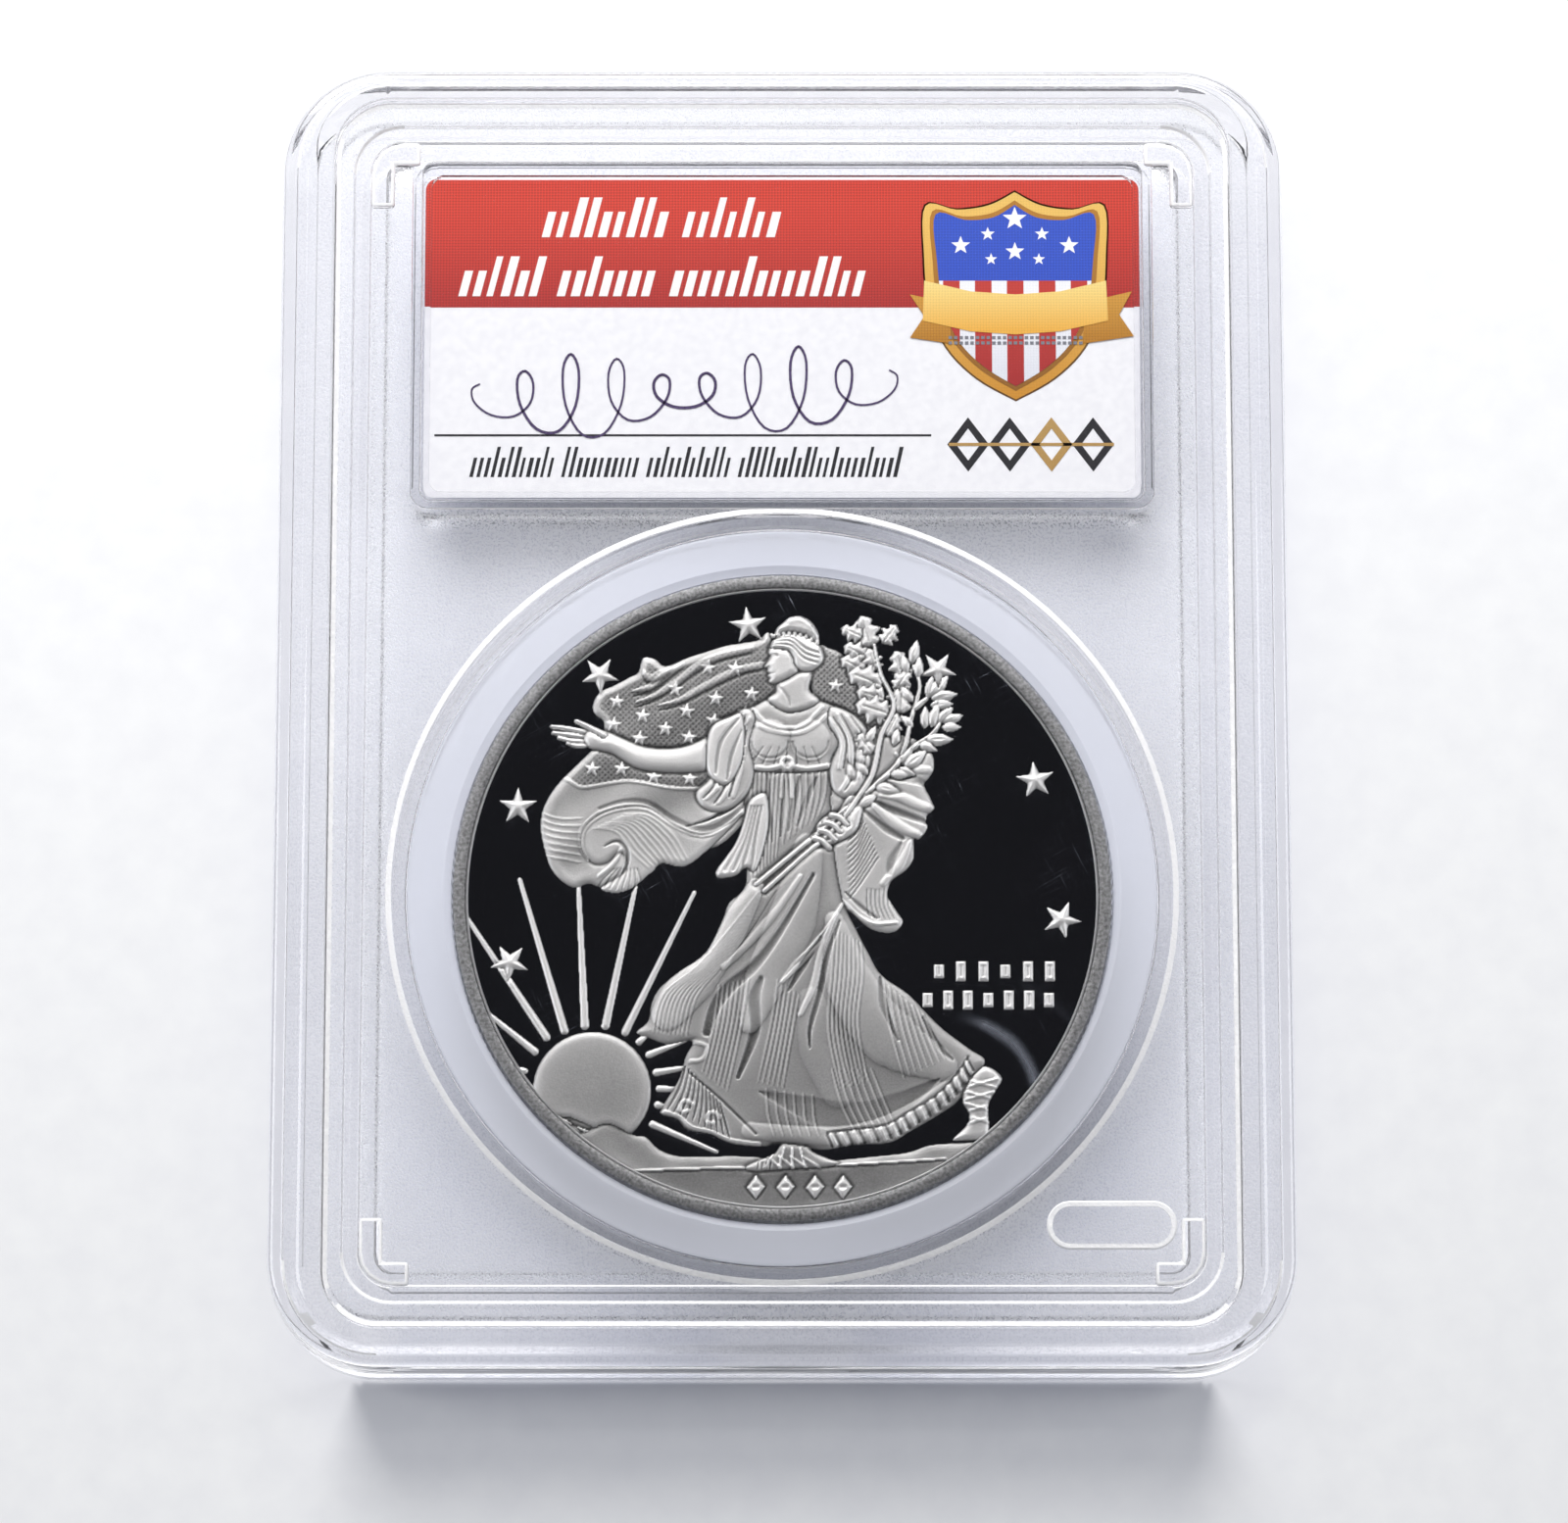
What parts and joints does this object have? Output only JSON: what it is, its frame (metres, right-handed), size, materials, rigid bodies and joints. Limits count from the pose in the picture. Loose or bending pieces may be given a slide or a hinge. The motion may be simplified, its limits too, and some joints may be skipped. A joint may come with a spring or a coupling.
{
  "type": "coin holder slab",
  "caption": "Sealed clear plastic slab holding a silver coin in a clear ring under a printed card.",
  "frame": {"origin": "bottom centre of the slab lying on its rear face", "axes": "+Y along the length toward the printed card, +Z out of the front face, +X to the right seen from the front"},
  "size_m": [0.0626, 0.082, 0.0079],
  "materials": {
    "shell_clear": "clear moulded, frosted panel",
    "ring_clear": "clear moulded",
    "coin_silver": "mirror field with frosted relief",
    "card_print": "printed card",
    "seal_foil": "diffraction foil"
  },
  "bodies": {
    "root": {"rear_shell": "shell_clear", "front_shell": "shell_clear", "coin_ring": "ring_clear", "coin": "coin_silver", "label_card": "card_print", "security_seal": "seal_foil"}
  },
  "joints": []
}
